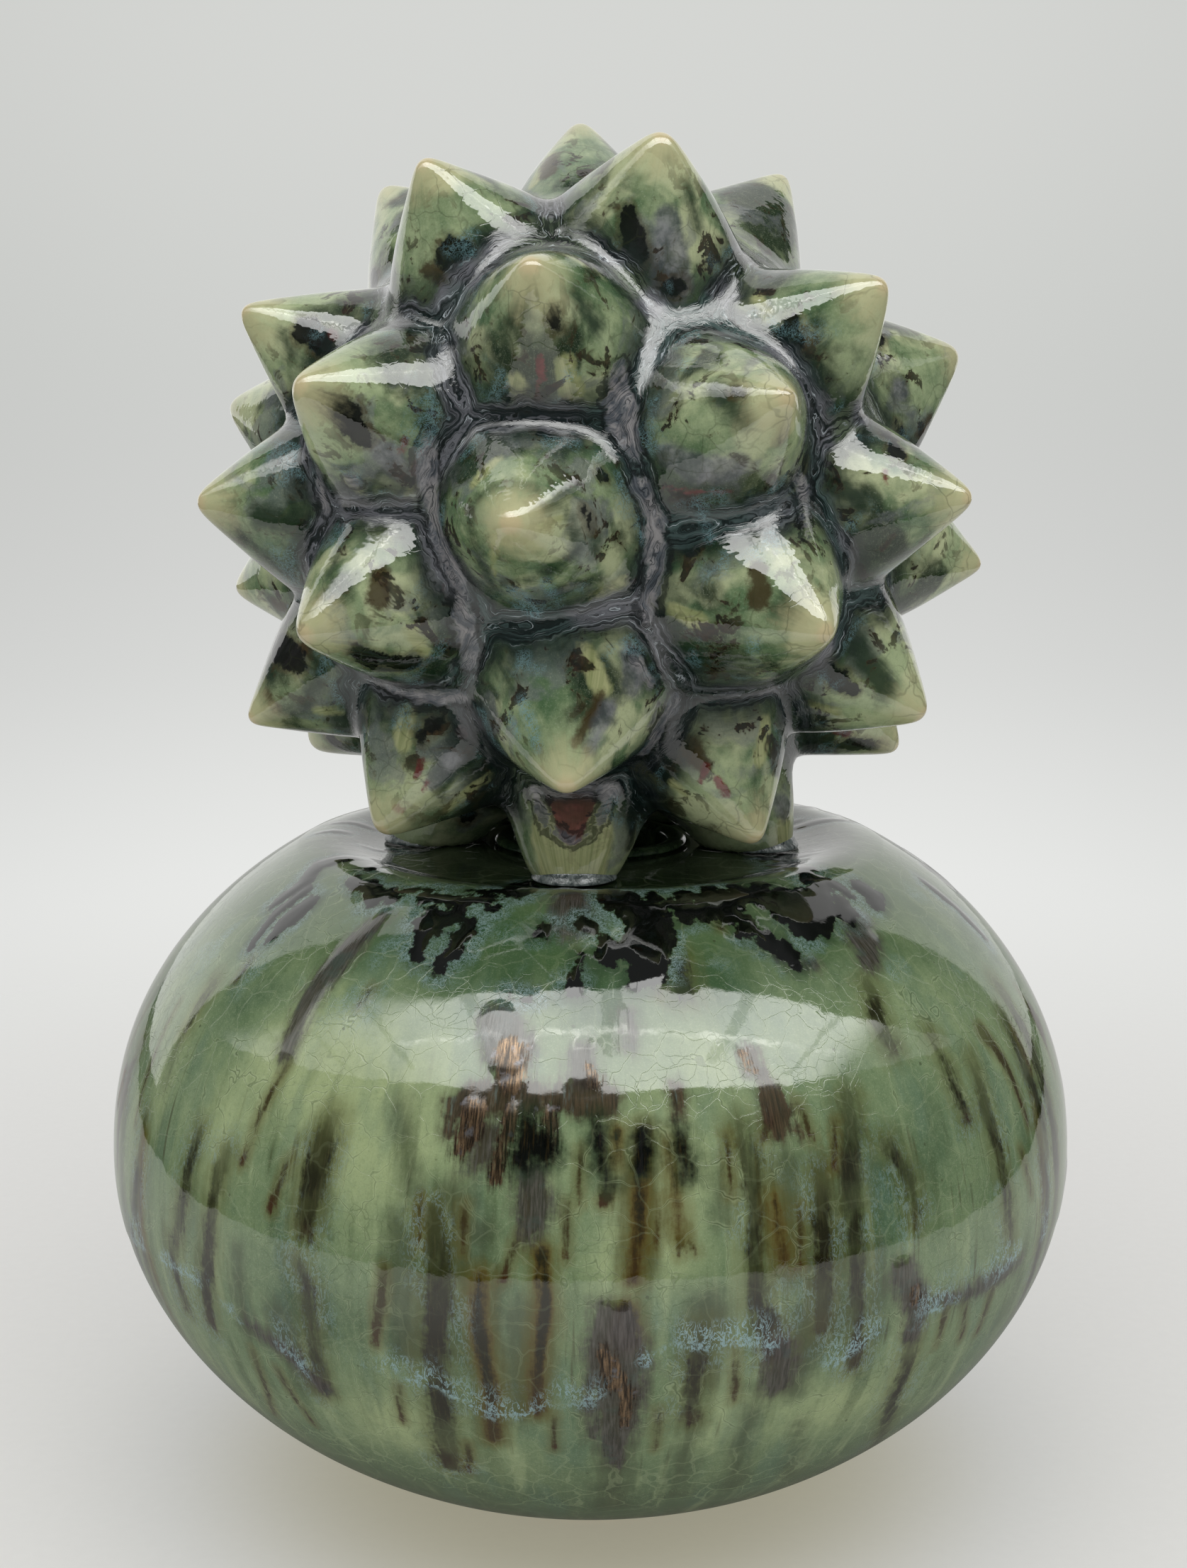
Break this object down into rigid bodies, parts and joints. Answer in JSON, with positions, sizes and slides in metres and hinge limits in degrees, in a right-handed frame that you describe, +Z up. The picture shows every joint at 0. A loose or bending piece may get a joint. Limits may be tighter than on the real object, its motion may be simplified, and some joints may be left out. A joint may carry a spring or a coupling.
{
  "type": "ceramic vase",
  "caption": "Glazed ceramic vase: a flattened round body with a sunken top, and a hollow ball covered in pointed cones standing on it on cut-off cone legs.",
  "frame": {"origin": "centre of the foot's resting face, on the vase's axis", "axes": "+Z up along the vase's axis, -Y towards the side seen in the picture, +X to its right"},
  "size_m": [0.205, 0.205, 0.2914],
  "materials": {
    "glaze_upper": "gloss, mottled green with dark runs",
    "glaze_lower": "gloss, mottled green with dark runs",
    "glaze_lip": "gloss, dark green",
    "glaze_ball": "gloss, grey-blue over dark green",
    "glaze_cones": "gloss, celadon breaking to cream at the tips",
    "glaze_legs": "gloss, olive to cream",
    "slip_collars": "gloss, pooled glaze",
    "bare_foot": "matt, unglazed"
  },
  "bodies": {
    "root": {"body_upper": "glaze_upper", "body_lower": "glaze_lower", "foot_ring": "bare_foot", "mouth_lip": "glaze_lip", "ball_upper": "glaze_ball", "ball_lower": "glaze_ball", "cone_01": "glaze_cones", "cone_02": "glaze_cones", "cone_03": "glaze_cones", "cone_04": "glaze_cones", "cone_05": "glaze_cones", "cone_06": "glaze_cones", "cone_07": "glaze_cones", "cone_08": "glaze_cones", "cone_09": "glaze_cones", "cone_10": "glaze_cones", "cone_11": "glaze_cones", "cone_12": "glaze_cones", "cone_13": "glaze_cones", "cone_14": "glaze_cones", "cone_15": "glaze_cones", "cone_16": "glaze_cones", "cone_17": "glaze_cones", "cone_18": "glaze_cones", "cone_19": "glaze_cones", "cone_20": "glaze_cones", "cone_21": "glaze_cones", "cone_22": "glaze_cones", "cone_23": "glaze_cones", "cone_24": "glaze_cones", "cone_25": "glaze_cones", "cone_26": "glaze_cones", "cone_27": "glaze_cones", "cone_28": "glaze_cones", "cone_29": "glaze_cones", "cone_30": "glaze_cones", "cone_31": "glaze_cones", "cone_32": "glaze_cones", "cone_33": "glaze_cones", "cone_34": "glaze_cones", "cone_35": "glaze_cones", "leg_front": "glaze_legs", "leg_right": "glaze_legs", "leg_back_right": "glaze_legs", "leg_back_left": "glaze_legs", "leg_left": "glaze_legs", "collar_front": "slip_collars", "collar_right": "slip_collars", "collar_back_right": "slip_collars", "collar_back_left": "slip_collars", "collar_left": "slip_collars"}
  },
  "joints": []
}
